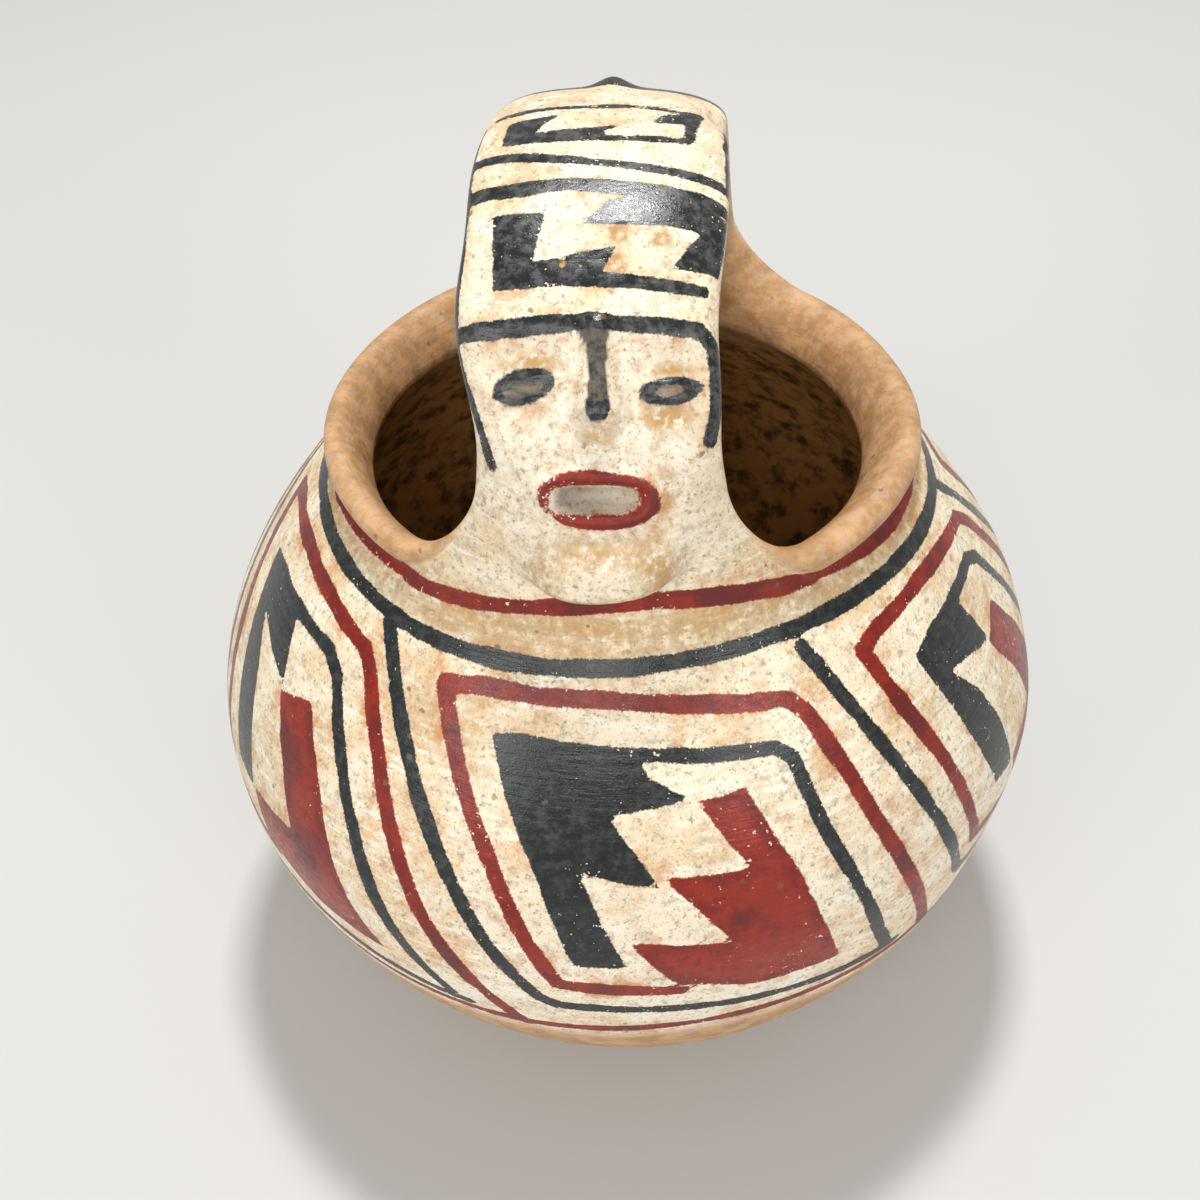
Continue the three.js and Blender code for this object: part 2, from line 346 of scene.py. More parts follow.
def joined(start, start_pull, end, end_pull):
    """Rows from one ring to another on cubic paths that leave and arrive along the two pulls."""
    t = np.linspace(0.0, 1.0, JOIN_ROWS + 1)[:, None, None]
    leave = 2 * t ** 3 - 3 * t ** 2 + 1
    depart = t ** 3 - 2 * t ** 2 + t
    arrive = t ** 3 - t ** 2
    return leave * start + depart * start_pull + (1 - leave) * end + arrive * end_pull


strap_along = np.concatenate([
    rows_between(FRONT_JOIN, FACE_END, FACE_STEP),
    rows_between(FACE_END, CROWN_END, CROWN_STEP),
    rows_between(CROWN_END, BACK_JOIN, BACK_STEP),
    [BACK_JOIN],
])
clear = strap_points(strap_along)
nudge = np.array([-0.5, 0.5])
front_slope = np.diff(strap_points(FRONT_JOIN + nudge), axis=0)[0]
back_slope = np.diff(strap_points(BACK_JOIN + nudge), axis=0)[0]
front_rows, front_columns = foot_loop(0, 1)
back_rows, back_columns = foot_loop(COLUMNS // 2, -1)
front_foot = joined(bowl[front_rows, front_columns], foot_pull(front_rows, front_columns, 1),
                    clear[0], round_section(*ARCH_PULLS) * front_slope)
back_foot = joined(clear[-1], round_section(*ARCH_PULLS) * back_slope,
                   bowl[back_rows, back_columns], -foot_pull(back_rows, back_columns, -1))
strap = np.vstack([front_foot[:-1], clear, back_foot[1:]])
STRAP_ROWS = len(strap)
SMOOTH_ROUNDS = 25
SMOOTH_REACH = 7.0
SMOOTH_START_ROWS = 3.0
SMOOTH_LAST_ROW = JOIN_ROWS + 8.0
SMOOTH_FADE_ROWS = 12.0
from_rim = np.minimum(np.arange(STRAP_ROWS), np.arange(STRAP_ROWS)[::-1])


def smoothed(grid):
    """Each point drawn towards the mean of its four neighbours, most at the corners of the two feet."""
    place = np.arange(SECTION_POINTS)
    corner_share = np.zeros(SECTION_POINTS)
    face = 2 * FOOT_COLUMNS
    for corner in (0, face, face + FOOT_ROWS, 2 * face + FOOT_ROWS):
        away = (place - corner + SECTION_POINTS // 2) % SECTION_POINTS - SECTION_POINTS // 2
        corner_share = np.maximum(corner_share, swell(away, 0.0, SMOOTH_REACH))
    row_share = (from_rim / SMOOTH_START_ROWS).clip(0.0, 1.0)
    row_share = row_share * ((SMOOTH_LAST_ROW - from_rim) / SMOOTH_FADE_ROWS).clip(0.0, 1.0)
    share = (row_share[1:-1, None] * corner_share[None, :])[:, :, None]
    for _ in range(SMOOTH_ROUNDS):
        beside = np.roll(grid, 1, axis=1)[1:-1] + np.roll(grid, -1, axis=1)[1:-1]
        mean = (beside + grid[:-2] + grid[2:]) / 4.0
        inner = grid[1:-1] + share * (mean - grid[1:-1])
        grid = np.concatenate([grid[:1], inner, grid[-1:]])
    return grid


strap = smoothed(strap)


def place_along(height):
    """Distance along the arch of a point of the outer face, from its height: the arch's sine undone."""
    lift = height - SPRING_Z
    share = (lift / (ARCH_RISE + STRAP_HALF_THICKNESS)).clip(-1.0, 1.0)
    return np.where(lift > 0.0, ALONG * np.arcsin(share), lift)


along_rows = np.concatenate([np.zeros(JOIN_ROWS), strap_along, np.full(JOIN_ROWS, ARCH_END)])
along_grid = np.repeat(along_rows[:, None], SECTION_POINTS, axis=1)
along_grid[:JOIN_ROWS] = place_along(strap[:JOIN_ROWS, :, 2])
along_grid[-JOIN_ROWS:] = ARCH_END - place_along(strap[-JOIN_ROWS:, :, 2])
across_grid = strap[:, :, 0] - ARCH_LEAN * np.sin((along_grid / ALONG).clip(0.0, math.pi))
girth_grid = np.repeat(section_girth[None, :], STRAP_ROWS, axis=0)

# The face and the knot modelled on the strap: places along the arch, half sizes across and along, heights
CHIN = 8.3
CHIN_SLOPE = 0.08
CHIN_HALF = 11.2
CHIN_BELOW = 4.6
CHIN_ABOVE = 7.0
CHIN_SQUARENESS = 2.5
CHIN_FADE = 8.0
CHIN_HEIGHT = 5.6
CHIN_EDGE = 2.6
CHIN_CREASE = 0.9
CHIN_CREASE_AT = 1.35
CHIN_CREASE_WIDTH = 0.18
MOUTH = 22.3
MOUTH_HALVES = (6.7, 2.1)
MOUTH_SQUARENESS = 5.0
MOUTH_DEPTH = 2.3
LIPS_HALVES = (8.2, 3.7)
LIPS_SQUARENESS = 2.5
LIPS_HEIGHT = 1.3
LIPS_WIDTH = 0.26
NOSE_TIP = 35.5
NOSE_ASIDE = 0.4
NOSE_UNDER = 0.6
NOSE_UNDER_FADE = 1.7
NOSE_BROW_FADE = 2.5
NOSE_HALF = 2.1
NOSE_HALF_MORE = 1.6
NOSE_SQUARENESS = 2.6
NOSE_HEIGHT = 1.3
NOSE_HEIGHT_MORE = 2.5
CHEEK = 29.0
CHEEK_HALVES = (7.0, 6.0)
CHEEK_HEIGHT = 0.6
BROW = 50.0
BROW_HEIGHT = 0.6
BROW_WIDTH = 2.4
KNOT = 117.0
KNOT_HALVES = (3.2, 4.0)
KNOT_HEIGHT = 1.8
EYE_HOLLOW = 1.5
EYE_HOLLOW_ABOVE = 0.8
EYE_HOLLOW_HALVES = (8.0, 6.0)
EYE_BULGE = 1.9
EYE_SLIT = 0.9
EYE_SLIT_HALVES = (4.2, 0.6)
LEFT_EYE = {"across": -11.2, "along": 39.9, "half_across": 5.0, "half_along": 2.8,
            "slope": 0.24, "lid": 0.9, "grey": 1.0, "slit": 0.20}
RIGHT_EYE = {"across": 11.6, "along": 39.7, "half_across": 4.7, "half_along": 2.1,
             "slope": 0.07, "lid": 0.42, "grey": 0.80, "slit": 0.22}


def oval(across, along, middle, half_across, half_along, power=2.0):
    """How far out a point lies from the middle of a squared oval: 0 at the middle, 1 on its edge."""
    away = np.abs((across - middle[0]) / half_across) ** power
    return (away + np.abs((along - middle[1]) / half_along) ** power) ** (1.0 / power)


def dome(across, along, middle, half_across, half_along, power=2.0):
    """1 at the middle of a squared oval, falling as e to the minus of its distance to a power."""
    return np.exp(-oval(across, along, middle, half_across, half_along, power) ** power)


def eye_shape(across, along, eye):
    """How far out a point lies in an eye's slanted oval, and its height over the eye's slanted middle."""
    level = along - eye["along"] - eye["slope"] * (across - eye["across"])
    return oval(across, level, (eye["across"], 0.0), eye["half_across"], eye["half_along"]), level


def chin_shape(across, along):
    """How far out a point lies in the chin's oval, taller above its middle, and 1 below fading to 0 above."""
    level = along - CHIN - CHIN_SLOPE * across
    half = np.where(level < 0.0, CHIN_BELOW, CHIN_ABOVE)
    out = oval(across, level, (0.0, 0.0), CHIN_HALF, half, CHIN_SQUARENESS)
    return out, (0.5 - level / CHIN_FADE).clip(0.0, 1.0)


def face_relief(across, along):
    """Height in mm of the modelled features over the plain strap, as a sum of domes and hollows."""
    down_nose = ((BROW - along) / (BROW - NOSE_TIP)).clip(0.0, 1.0)
    above = swell(np.maximum(along - BROW, 0.0), 0.0, NOSE_BROW_FADE)
    below = swell(np.maximum(NOSE_TIP + NOSE_UNDER - along, 0.0), 0.0, NOSE_UNDER_FADE)
    nose_half = NOSE_HALF + NOSE_HALF_MORE * down_nose
    ridge = np.exp(-np.abs((across - NOSE_ASIDE) / nose_half) ** NOSE_SQUARENESS)
    height = (NOSE_HEIGHT + NOSE_HEIGHT_MORE * down_nose) * above * below * ridge
    for eye in (LEFT_EYE, RIGHT_EYE):
        out, level = eye_shape(across, along, eye)
        hollow = (eye["across"], eye["along"] + EYE_HOLLOW_ABOVE)
        slit = ((across - eye["across"]) / EYE_SLIT_HALVES[0]) ** 4 + (level / EYE_SLIT_HALVES[1]) ** 2
        height -= EYE_HOLLOW * dome(across, along, hollow, *EYE_HOLLOW_HALVES)
        height += EYE_BULGE * np.exp(-out ** 2)
        height -= EYE_SLIT * np.exp(-slit)
        height += CHEEK_HEIGHT * dome(across, along, (eye["across"], CHEEK), *CHEEK_HALVES)
    lips = oval(across, along, (0.0, MOUTH), *LIPS_HALVES, LIPS_SQUARENESS)
    height += LIPS_HEIGHT * swell(lips, 1.0, LIPS_WIDTH)
    height -= MOUTH_DEPTH * dome(across, along, (0.0, MOUTH), *MOUTH_HALVES, MOUTH_SQUARENESS)
    out, low = chin_shape(across, along)
    height += CHIN_HEIGHT * np.exp(-out ** (CHIN_EDGE * (1.0 + low)))
    height -= CHIN_CREASE * low * swell(out, CHIN_CREASE_AT, CHIN_CREASE_WIDTH)
    height += BROW_HEIGHT * swell(along, BROW, BROW_WIDTH)
    height += KNOT_HEIGHT * dome(across, along, (0.0, KNOT), *KNOT_HALVES)
    return height


# Chips off the strap's right edge: depth, place round the strap, place along it, half sizes, squareness
EDGE_CHIPS = ((1.7, 20.2, 104.5, 3.0, 4.6, 3.0), (0.7, 21.0, 92.0, 1.6, 1.4, 2.0))
# Round flakes lost from the band: place round the strap, place along it, radius
FLAKES = ((4.3, 66.1, 1.3), (4.2, 60.4, 1.2), (10.6, 65.4, 1.1), (-3.6, 60.3, 0.5), (-1.0, 60.2, 0.45))
FLAKE_DEPTH = 0.45
FLAKE_SLOPE = 0.5


def domes(girth, along, rows):
    """Sum of some domes: each row is a height, a place round and along, two half sizes and a squareness."""
    return sum(row[0] * dome(girth, along, row[1:3], *row[3:]) for row in rows)


def flake_gap(girth, along):
    """Distance in mm outside (+) or inside (-) the edge of the nearest lost flake."""
    return np.minimum.reduce([np.hypot(girth - flake[0], along - flake[1]) - flake[2] for flake in FLAKES])


def chips(girth, along):
    """Depth in mm of the chips knocked off the strap's edge and of the flakes lost from it."""
    flakes = FLAKE_DEPTH * (-flake_gap(girth, along) / FLAKE_SLOPE).clip(0.0, 1.0)
    return domes(girth, along, EDGE_CHIPS) + flakes


# Keeps a division clear of nought
TINY = 1e-9


def normals(grid):
    """Unit vectors off a grid's surface: across each point's neighbours round it and along it."""
    around = np.roll(grid, -1, axis=1) - np.roll(grid, 1, axis=1)
    off = np.cross(around, np.gradient(grid, axis=0))
    return off / (np.linalg.norm(off, axis=2)[:, :, None] + TINY)


# The relief fades out on the strap's edges and over the first rows of its feet
RELIEF_FROM = 0.3
RELIEF_FADE = 0.4
RELIEF_RIM_ROWS = 3.0
outer_share = ((section_out / STRAP_HALF_THICKNESS - RELIEF_FROM) / RELIEF_FADE).clip(0.0, 1.0)
rim_share = (from_rim / RELIEF_RIM_ROWS).clip(0.0, 1.0)
relief = face_relief(across_grid, along_grid) * outer_share[None, :] * rim_share[:, None]
relief = relief - chips(girth_grid, along_grid)
strap = strap + normals(strap) * relief[:, :, None]

# The painted pattern: distances in mm inside (+) or outside (-) the edge of each paint
NECK_LINE = 152.0
PANEL_FOOT = 86.0
DIVIDER_NECK = (-40.5, 33.8, 87.5, 145.0, 202.0, 259.0, 319.5)
DIVIDER_FOOT = (-7.0, 54.6, 114.0, 172.0, 230.0, 291.0, 353.0)
DIVIDER_BEND = 0.9
DIVIDER_PAST = 1.3
PANEL_MIDDLE = 115.0
PANEL_REACH = 62.0
BLACK_HALF = 1.45
RED_HALF = 1.6
THIN_HALF = 1.4
FAR = -12.0


def divider(number, run):
    """Degrees round the bowl of a slanting divider: from its neck to its foot as the drop to a power."""
    drop = np.clip((NECK_LINE - run) / (NECK_LINE - PANEL_FOOT), 0.0, DIVIDER_PAST) ** DIVIDER_BEND
    return DIVIDER_NECK[number] + (DIVIDER_FOOT[number] - DIVIDER_NECK[number]) * drop


def wrapped(turn):
    """Degrees brought between -180 and 180."""
    return (turn + 180.0) % 360.0 - 180.0


def fine(points, closed=False, steps=5):
    """The line through some points with each stretch cut into equal steps."""
    points = np.array(points, float)
    if closed:
        points = np.vstack([points, points[:1]])
    place = np.arange(len(points))
    wanted = np.linspace(0, len(points) - 1, (len(points) - 1) * steps + 1)
    return np.column_stack([np.interp(wanted, place, points[:, 0]), np.interp(wanted, place, points[:, 1])])


def gap_to_line(x, y, line, scale):
    """Distance in mm from each point to a drawn line; scale turns the line's x into mm at each point."""
    first = line[:-1]
    step = line[1:] - first
    from_x = (first[None, :, 0] - x[:, None]) * scale[:, None]
    from_y = first[None, :, 1] - y[:, None]
    step_x = step[None, :, 0] * scale[:, None]
    step_y = np.broadcast_to(step[None, :, 1], step_x.shape)
    share = -(from_x * step_x + from_y * step_y) / (step_x ** 2 + step_y ** 2 + TINY)
    share = share.clip(0.0, 1.0)
    return np.hypot(from_x + share * step_x, from_y + share * step_y).min(axis=1)


def within(x, y, outline):
    """True where a ray from the point crosses the closed outline an odd number of times."""
    first = outline[:-1]
    last = outline[1:]
    crosses = (first[None, :, 1] > y[:, None]) != (last[None, :, 1] > y[:, None])
    fall = last[:, 1] - first[:, 1]
    fall = np.where(np.abs(fall) < TINY, 1.0, fall)
    lean = (last[:, 0] - first[:, 0]) / fall
    meet = first[None, :, 0] + (y[:, None] - first[None, :, 1]) * lean[None, :]
    return (crosses & (x[:, None] < meet)).sum(axis=1) % 2 == 1


def stroke(x, y, line, half, scale):
    """Distance inside (+) or outside (-) a brush line of some half width."""
    return half - gap_to_line(x, y, line, scale)


def filled(x, y, outline, scale):
    """Distance inside (+) or outside (-) a filled shape."""
    gap = gap_to_line(x, y, outline, scale)
    return np.where(within(x, y, outline), gap, -gap)


# One panel: shares across it from the left divider to the right one, and distances up the wall
FRAME_TOP = ((0.147, 146.4), (0.25, 148.0), (0.51, 148.7), (0.71, 147.2), (0.887, 144.6))
FRAME_LEFT = ((0.147, 146.4), (0.123, 131.0), (0.116, 119.0), (0.095, 104.7), (0.08, 93.2), (0.143, 92.4),
              (0.307, 90.5))
FRAME_RIGHT = ((0.887, 144.6), (0.907, 141.0), (0.90, 129.0), (0.885, 117.0), (0.876, 106.0), (0.871, 90.0),
               (0.865, 75.0))
THIN_LINE = ((0.535, 139.5), (0.66, 138.3), (0.80, 137.0), (0.82, 134.5), (0.80, 127.0), (0.781, 119.0),
             (0.767, 106.0), (0.745, 88.0), (0.745, 80.0))
BLACK_FRET = ((0.235, 140.6), (0.30, 141.6), (0.535, 140.8), (0.53, 136.0), (0.587, 131.0), (0.41, 129.0),
              (0.426, 115.8), (0.293, 118.6), (0.252, 98.5), (0.15, 98.7), (0.203, 119.0), (0.215, 131.0))
RED_FRET = ((0.592, 130.6), (0.697, 131.8), (0.687, 114.0), (0.657, 98.7), (0.637, 87.9), (0.446, 88.1),
            (0.31, 93.1), (0.2925, 105.0), (0.485, 102.6), (0.442, 117.8), (0.605, 117.0))
SIDE_THIN_LINE = ((0.53, 140.0), (0.73, 139.8), (0.77, 137.0), (0.768, 124.0), (0.765, 113.0), (0.758, 103.5),
                  (0.75, 81.0))
SIDE_BLACK_FRET = ((0.265, 139.2), (0.40, 141.2), (0.545, 141.0), (0.54, 136.5), (0.522, 126.6),
                   (0.325, 131.4), (0.355, 123.5), (0.342, 114.0), (0.298, 100.2), (0.205, 101.6),
                   (0.214, 110.0), (0.24, 126.0))
SIDE_RED_FRET = ((0.51, 125.8), (0.66, 129.4), (0.675, 117.0), (0.655, 103.6), (0.648, 87.8), (0.46, 87.6),
                 (0.30, 92.0), (0.31, 101.4), (0.505, 103.2), (0.52, 114.0))
DIVIDER_LINE = ((0.0, NECK_LINE), (0.0, 119.0), (0.0, 88.0), (0.02, 86.0), (0.39, 82.4), (0.77, 79.0))
FRAME_LINES = (FRAME_TOP, FRAME_LEFT, FRAME_RIGHT)
FRONT_PANEL = (THIN_LINE, BLACK_FRET, RED_FRET)
SIDE_PANEL = (SIDE_THIN_LINE, SIDE_BLACK_FRET, SIDE_RED_FRET)
NECK_RING = 154.0
NECK_RING_HALF = 1.5
NECK_RING_SWING = 1.3
NECK_RING_WAVES = 3.0
NECK_RING_START = 3.0
LOW_RING = 75.7
LOW_RING_HALF = 1.4
SLIP_FROM = 71.5
SLIP_TO = 162.5
SLIP_CLIMB = 4.0
SLIP_CLIMB_REACH = 36.0


def in_panel(points, number, middle, closed=False):
    """A panel's line in degrees off its middle: the share across it, laid from one divider to the next."""
    line = fine(points, closed)
    left = divider(number, line[:, 1]) - middle
    right = divider(number + 1, line[:, 1]) - middle
    return np.column_stack([left + line[:, 0] * (right - left), line[:, 1]])


def body_paint(turn, run, radius):
    """Black and red edge distances on the bowl's outside, each the nearest of its rings and panel shapes."""
    scale = radius * math.pi / 180.0
    swing = NECK_RING_SWING * np.sin(NECK_RING_WAVES * np.radians(turn - NECK_RING_START))
    black = NECK_RING_HALF - np.abs(run - NECK_RING - swing)
    red = LOW_RING_HALF - np.abs(run - LOW_RING)
    for number in range(len(DIVIDER_NECK) - 1):
        middle = 0.5 * (divider(number, PANEL_MIDDLE) + divider(number + 1, PANEL_MIDDLE))
        offset = wrapped(turn - middle)
        near = np.flatnonzero(np.abs(offset) < PANEL_REACH)
        x = offset[near]
        y = run[near]
        size = scale[near]
        thin_line, black_fret, red_fret = FRONT_PANEL if number == 0 else SIDE_PANEL
        blacks = [
            stroke(x, y, in_panel(DIVIDER_LINE, number, middle), BLACK_HALF, size),
            stroke(x, y, in_panel(thin_line, number, middle), THIN_HALF, size),
            filled(x, y, in_panel(black_fret, number, middle, True), size),
        ]
        reds = [stroke(x, y, in_panel(line, number, middle), RED_HALF, size) for line in FRAME_LINES]
        reds.append(filled(x, y, in_panel(red_fret, number, middle, True), size))
        black[near] = np.maximum.reduce([black[near], *blacks])
        red[near] = np.maximum.reduce([red[near], *reds])
    return black, red


# The red ring under the lip, which climbs over the strap's two feet
RING_Z = 124.7
RING_RISE = 7.2
RING_RISE_BEHIND = 6.0
RING_MIDDLE = 8.0
RING_REACH = 31.0
RING_HALF = 1.5
RING_HALF_MORE = 0.4
RING_LEAST_STEEP = 0.2


def neck_ring(position):
    """Red ring edge distance: height off a line that rises over the strap's feet, over the wall's slope."""
    turn = np.degrees(np.arctan2(position[..., 0], -position[..., 1]))
    before = swell(turn, RING_MIDDLE, RING_REACH)
    behind = swell(wrapped(turn - 180.0), 0.0, RING_REACH)
    rise = RING_RISE * before + RING_RISE_BEHIND * behind
    steep = np.sqrt((1.0 - normals(position)[..., 2] ** 2).clip(RING_LEAST_STEEP, 1.0))
    return RING_HALF + RING_HALF_MORE * before - np.abs(position[..., 2] - RING_Z - rise) / steep


# The paint's edges, the slip's edge and the browned inside, at each point of the bowl.
# The inside's share, rising inward from the lip, is partly browning by use and partly painted shade.
INSIDE_FROM = 3.0
INSIDE_FADE = 23.0
turn_grid = np.repeat(np.degrees(column_turn)[None, :], ROWS, axis=0)
run_grid = np.repeat(row_run[:, None], COLUMNS, axis=1)
radius_grid = np.repeat(row_radius[:, None], COLUMNS, axis=1)
painted = (run_grid > PAINT_FROM) & (run_grid < SLIP_TO)
bowl_black = np.full(run_grid.shape, FAR)
bowl_red = np.full(run_grid.shape, FAR)
paint_edges = body_paint(turn_grid[painted], run_grid[painted], radius_grid[painted])
bowl_black[painted], bowl_red[painted] = paint_edges
bowl_red = np.maximum(bowl_red, np.where(run_grid < LIP_EDGE_RUN, neck_ring(bowl), FAR))
bowl_red[run_grid < PAINT_FROM] = FAR
from_front = wrapped(turn_grid)
slip_top = SLIP_TO + SLIP_CLIMB * swell(from_front, 0.0, SLIP_CLIMB_REACH)
bowl_slip = np.minimum(run_grid - SLIP_FROM, slip_top - run_grid)
# Painted shade together with browning by use: the inside darkens inward from the lip
bowl_inside_brown_and_shade = ((run_grid - LIP_TOP_RUN - INSIDE_FROM) / INSIDE_FADE).clip(0.0, 1.0)

# The strap's paint: distances round it from the middle of its outer face, and along the arch
BROW_LINE = ((-22.9, 48.0), (-11.5, 49.5), (-0.8, 50.5), (10.0, 50.2), (15.5, 49.6))
LEFT_EDGE = ((-21.4, 97.0), (-21.7, 76.0), (-22.4, 64.0), (-23.1, 52.0), (-22.9, 48.0))
LEFT_LOCK = ((-22.9, 48.0), (-22.0, 40.8), (-19.4, 31.8), (-17.0, 25.8))
RIGHT_EDGE = ((21.4, 98.0), (21.6, 79.0))
RIGHT_LOCK = ((15.5, 49.6), (18.3, 47.0), (19.4, 43.0), (19.8, 36.0), (18.6, 31.2))
NOSE_STRIPE = ((-3.3, 49.8), (2.3, 49.8), (1.9, 47.0), (1.8, 41.7), (2.2, 36.9), (1.6, 35.4), (-0.4, 35.2),
               (-1.2, 36.7), (-0.9, 41.5), (-1.5, 46.9))
NOSE_TIP_PAINT = ((-0.9, 38.6), (0.2, 37.6), (2.0, 38.2), (2.2, 36.9), (1.6, 35.4), (-0.4, 35.2),
                  (-1.2, 36.7))
BAND_LINE = ((-20.0, 75.2), (-12.5, 74.8), (-3.0, 76.0), (9.8, 74.8), (21.0, 73.5))
BAND_LEFT = ((-15.8, 70.0), (-7.5, 70.0), (-9.2, 60.8), (3.0, 63.5), (0.8, 59.0), (17.2, 57.5), (17.2, 55.5),
             (0.0, 56.5), (-15.5, 55.8))
BAND_RIGHT = ((-2.0, 67.8), (2.0, 72.2), (9.8, 74.8), (21.5, 71.5), (20.8, 65.2), (19.3, 59.8), (11.5, 60.0),
              (15.8, 67.0), (10.8, 67.8))
CROWN_LOW = ((-21.0, 84.2), (-3.2, 81.5), (21.0, 78.4))
CROWN_FRET = ((-15.2, 86.8), (-15.0, 94.5), (-7.0, 96.2), (-10.2, 90.0), (3.0, 91.8), (-0.8, 88.9),
              (12.8, 89.2), (13.0, 94.0), (7.5, 92.5), (9.5, 97.2), (16.0, 99.8), (14.8, 89.0),
              (13.8, 87.2), (-7.5, 86.5))
CROWN_HIGH = ((-17.5, 98.5), (-6.8, 99.0), (3.0, 99.8), (15.5, 99.2))
BACK_LINE = ((-24.0, 114.5), (0.0, 115.5), (24.0, 114.5))

# The brush lines with their half widths, and the filled shapes
STRAP_LINES = ((BROW_LINE, 1.4), (LEFT_EDGE, 1.6), (LEFT_LOCK, 1.0), (RIGHT_EDGE, 1.4), (RIGHT_LOCK, 1.35),
               (BAND_LINE, 1.5), (CROWN_LOW, 1.1), (CROWN_HIGH, 0.8), (BACK_LINE, 2.4))
STRAP_SHAPES = (NOSE_TIP_PAINT, BAND_LEFT, BAND_RIGHT, CROWN_FRET)
LOWER_LID = 0.42
RED_LIPS_MIDDLE = (-0.1, MOUTH)
RED_LIPS_HALVES = (9.3, 4.95)
RED_LIPS_SQUARENESS = 2.3
OPENING_MIDDLE = (-0.1, MOUTH - 0.3)
OPENING_HALVES = (6.7, 2.2)
OPENING_SQUARENESS = 4.0


def strap_paint(girth, along):
    """Black and red edge distances on the strap, each the nearest of its lines and shapes."""
    one = np.ones_like(girth)
    black = [stroke(girth, along, fine(line), half, one) for line, half in STRAP_LINES]
    black += [filled(girth, along, fine(shape, True), one) for shape in STRAP_SHAPES]
    for eye in (LEFT_EYE, RIGHT_EYE):
        out, level = eye_shape(girth, along, eye)
        inward = (1.0 - out) * eye["half_along"]
        half_lid = np.where(level > 0.0, eye["lid"], LOWER_LID)
        black.append(half_lid - np.abs(inward - half_lid))
    lips = 1.0 - oval(girth, along, RED_LIPS_MIDDLE, *RED_LIPS_HALVES, RED_LIPS_SQUARENESS)
    opening = oval(girth, along, OPENING_MIDDLE, *OPENING_HALVES, OPENING_SQUARENESS) - 1.0
    red = np.minimum(lips * RED_LIPS_HALVES[1], opening * OPENING_HALVES[1])
    return np.maximum.reduce(black), red


# Stains on the face, and the nose's painted shadow: share, place round the strap, place along it, half sizes,
# squareness
FACE_STAINS = ((0.9, -9.6, 44.0, 4.4, 1.7, 2.0), (0.9, 12.0, 43.0, 4.2, 1.4, 2.0),
               # The fourth, just under the nose's tip, is the nose's shadow painted on as a tan mark
               (1.0, 11.4, 35.2, 4.6, 1.9, 2.0), (0.5, 0.3, 32.4, 4.0, 1.6, 2.0),
               (0.25, 0.0, 28.0, 24.0, 20.0, 4.0), (0.3, 0.3, 14.2, 4.8, 1.1, 2.0),
               (0.3, 6.2, 11.6, 2.8, 1.6, 2.0))
# Round the chin: tan dirt at its sides, and painted shade under it, strongest below its middle
CHIN_STAIN = 0.4
CHIN_SHADE_BELOW = 0.6
CHIN_STAIN_AT = 0.85
CHIN_STAIN_WIDTH = 0.30


def strap_stain_and_shade(girth, along, across):
    """Tan dirt, from 0 up, round the eyes, the chin and over the cheeks, with painted shade under the chin
    and nose.
    """
    out, low = chin_shape(across, along)
    chin_dirt_and_shade = (CHIN_STAIN + CHIN_SHADE_BELOW * low) * swell(out, CHIN_STAIN_AT, CHIN_STAIN_WIDTH)
    return domes(girth, along, FACE_STAINS) + chin_dirt_and_shade


# The thin grey paint of the eyes, and painted shade in the mouth's hollow
EYE_GREY_EDGE = 1.05
EYE_GREY_FADE = 0.1
SLIT_LEVEL = -0.4
SLIT_WIDTH = 0.5
# Painted shade in the mouth's hollow, darker towards its left end
MOUTH_SHADE = 0.52
MOUTH_SHADE_LEAN = 0.03
MOUTH_SHADE_HALVES = (6.9, 2.3)
MOUTH_SHADE_FADE = 0.15


def strap_grey_paint_and_shade(girth, along):
    """From 0 up: thin grey paint over the eyes and down the nose, and painted shade in the mouth, darker at
    its left end.
    """
    one = np.ones(girth.size)
    down_nose = filled(girth.ravel(), along.ravel(), fine(NOSE_STRIPE, True), one) > 0.0
    grey_paint_and_shade = down_nose.reshape(girth.shape).astype(float)
    for eye in (LEFT_EYE, RIGHT_EYE):
        out, level = eye_shape(girth, along, eye)
        grey = eye["grey"] - eye["slit"] * swell(level, SLIT_LEVEL, SLIT_WIDTH)
        grey_paint_and_shade += grey * ((EYE_GREY_EDGE - out) / EYE_GREY_FADE).clip(0.0, 1.0)
    mouth = oval(girth, along, OPENING_MIDDLE, *MOUTH_SHADE_HALVES, OPENING_SQUARENESS)
    mouth_shade_share = ((1.0 - mouth) / MOUTH_SHADE_FADE).clip(0.0, 1.0)
    return grey_paint_and_shade + (MOUTH_SHADE - MOUTH_SHADE_LEAN * girth) * mouth_shade_share


# The strap's slip, dirt and chalky face, and the dirt on the bowl's neck and front panel.
# The strap's dirt holds painted shade under the chin and under the nose's tip.
SLIP_GIRTH = 23.0
UNDERSIDE_BROWN = 0.15
FOOT_DIRT = 0.7
FOOT_DIRT_Z = 126.0
FOOT_DIRT_REACH = 4.5
FLAKE_DIRT = 1.1
FLAKE_DIRT_REACH = 0.7
FACE_CHALK = ((0.75, -2.0, 31.0, 23.0, 19.0, 4.0),)
NECK_DIRT = 0.6
NECK_DIRT_RUN = 158.0
NECK_DIRT_REACH = 3.5
PANEL_DIRT = ((0.5, -24.0, 141.0, 13.0, 7.0, 2.0),)
paint_girth = girth_grid - TEMPLES_ASIDE * swell(along_grid, TEMPLES, TEMPLES_REACH)
strap_black, strap_red = strap_paint(paint_girth.ravel(), along_grid.ravel())
strap_black = strap_black.reshape(girth_grid.shape)
strap_red = strap_red.reshape(girth_grid.shape)
strap_slip = SLIP_GIRTH - np.abs(girth_grid)
on_face = strap_slip > 0.0
